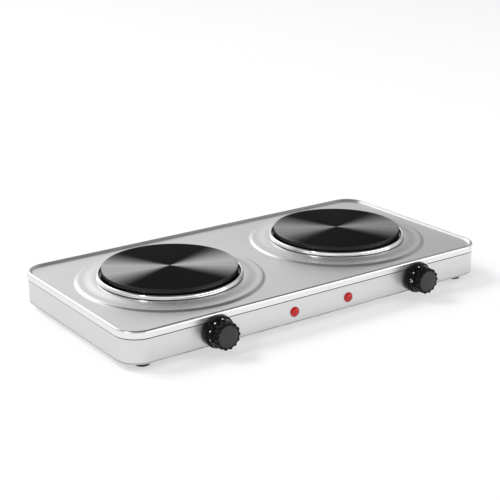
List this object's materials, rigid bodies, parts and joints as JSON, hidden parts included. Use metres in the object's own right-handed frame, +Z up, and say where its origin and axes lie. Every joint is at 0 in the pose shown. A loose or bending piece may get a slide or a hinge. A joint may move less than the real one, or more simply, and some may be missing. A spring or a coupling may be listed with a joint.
{
  "type": "double electric hot plate",
  "caption": "Free-standing electric hot plate: rimmed brushed-steel case with cast-iron cooking discs, fluted control knobs and red pilot lamps.",
  "frame": {"origin": "on the surface the feet stand on, below the middle of the whole appliance", "axes": "+X to the right along the length, -Y the control side, +Z up"},
  "size_m": [0.495, 0.2722, 0.0565],
  "materials": {
    "lid_steel": "fine brushed stainless sheet",
    "wall_steel": "fine brushed stainless sheet",
    "zinc_sheet": "aluminised sheet, dull",
    "cast_plate": "turned and blackened, fine concentric grooves",
    "bright_ring": "polished",
    "element_ceramic": "matt pressed ceramic powder",
    "heating_wire": "oxidised resistance wire",
    "steatite": "unglazed",
    "zinc_steel": "zinc plated",
    "brass_parts": "turned",
    "knob_plastic": "moulded, semi-gloss",
    "cap_plastic": "moulded disc with turned sheen",
    "bimetal": "rolled strip",
    "bronze_leaf": "rolled phosphor bronze",
    "red_lens": "translucent, polished",
    "nylon": "moulded",
    "neon_glass": "clear",
    "rubber_foot": "moulded",
    "white_sleeve": "braided glass sleeve",
    "red_sleeve": "braided glass sleeve"
  },
  "bodies": {
    "case": {"top_panel": "lid_steel", "housing": "wall_steel", "bottom_plate": "zinc_sheet", "left_hot_plate": "cast_plate", "right_hot_plate": "cast_plate", "left_trim_ring": "bright_ring", "right_trim_ring": "bright_ring", "left_insulation": "element_ceramic", "right_insulation": "element_ceramic", "left_heating_coil": "heating_wire", "right_heating_coil": "heating_wire", "left_element_cover": "zinc_sheet", "right_element_cover": "zinc_sheet", "left_element_terminal": "steatite", "right_element_terminal": "steatite", "left_clamp_strap": "zinc_steel", "right_clamp_strap": "zinc_steel", "left_heat_shield": "zinc_sheet", "right_heat_shield": "zinc_sheet", "plate_studs": "brass_parts", "plate_nuts": "brass_parts", "left_thermostat_bush": "brass_parts", "right_thermostat_bush": "brass_parts", "left_thermostat_frame": "zinc_steel", "right_thermostat_frame": "zinc_steel", "left_thermostat_stack": "steatite", "right_thermostat_stack": "steatite", "left_bimetal_blade": "bimetal", "right_bimetal_blade": "bimetal", "bush_nuts": "zinc_steel", "left_lamp_lens": "red_lens", "right_lamp_lens": "red_lens", "lamp_holders": "nylon", "neon_bulbs": "neon_glass", "lamp_clips": "zinc_steel", "front_left_foot": "rubber_foot", "front_right_foot": "rubber_foot", "rear_left_foot": "rubber_foot", "rear_right_foot": "rubber_foot", "foot_screws": "zinc_steel", "foot_nuts": "zinc_steel", "base_screws": "zinc_steel", "cord_bushing": "rubber_foot", "terminal_block": "nylon", "terminal_screws": "brass_parts", "earth_stud": "brass_parts", "thermostat_wires": "white_sleeve", "supply_wires": "red_sleeve"},
    "left_control": {"left_knob": "knob_plastic", "left_knob_cap": "cap_plastic", "left_knob_shaft": "zinc_steel"},
    "left_adjusting_screw": {"left_adjuster": "brass_parts"},
    "left_contact_arm": {"left_contact_leaf": "bronze_leaf"},
    "right_control": {"right_knob": "knob_plastic", "right_knob_cap": "cap_plastic", "right_knob_shaft": "zinc_steel"},
    "right_adjusting_screw": {"right_adjuster": "brass_parts"},
    "right_contact_arm": {"right_contact_leaf": "bronze_leaf"}
  },
  "joints": [
    {"name": "left_knob_turn", "type": "hinge", "parent": "case", "child": "left_control", "pos_m": [-0.14, -0.12565, 0.0238], "axis": [0, 1, 0], "range_deg": [0, 300]},
    {"name": "left_adjuster_travel", "type": "slide", "parent": "case", "child": "left_adjusting_screw", "axis": [0, 1, 0], "range_m": [0, 0.001]},
    {"name": "left_leaf_flex", "type": "hinge", "parent": "case", "child": "left_contact_arm", "pos_m": [-0.133, -0.09305, 0.0238], "axis": [0, 0, -1], "range_deg": [0, 8.23]},
    {"name": "right_knob_turn", "type": "hinge", "parent": "case", "child": "right_control", "pos_m": [0.14, -0.12565, 0.0238], "axis": [0, 1, 0], "range_deg": [0, 300]},
    {"name": "right_adjuster_travel", "type": "slide", "parent": "case", "child": "right_adjusting_screw", "axis": [0, 1, 0], "range_m": [0, 0.001]},
    {"name": "right_leaf_flex", "type": "hinge", "parent": "case", "child": "right_contact_arm", "pos_m": [0.147, -0.09305, 0.0238], "axis": [0, 0, -1], "range_deg": [0, 8.23]}
  ],
  "couplings": [
    {"joint": "left_adjuster_travel", "follows": "left_knob_turn", "m_per_rad": 0.00019079},
    {"joint": "left_leaf_flex", "follows": "left_knob_turn", "ratio": 0.0271},
    {"joint": "right_adjuster_travel", "follows": "right_knob_turn", "m_per_rad": 0.00019079},
    {"joint": "right_leaf_flex", "follows": "right_knob_turn", "ratio": 0.0271}
  ]
}
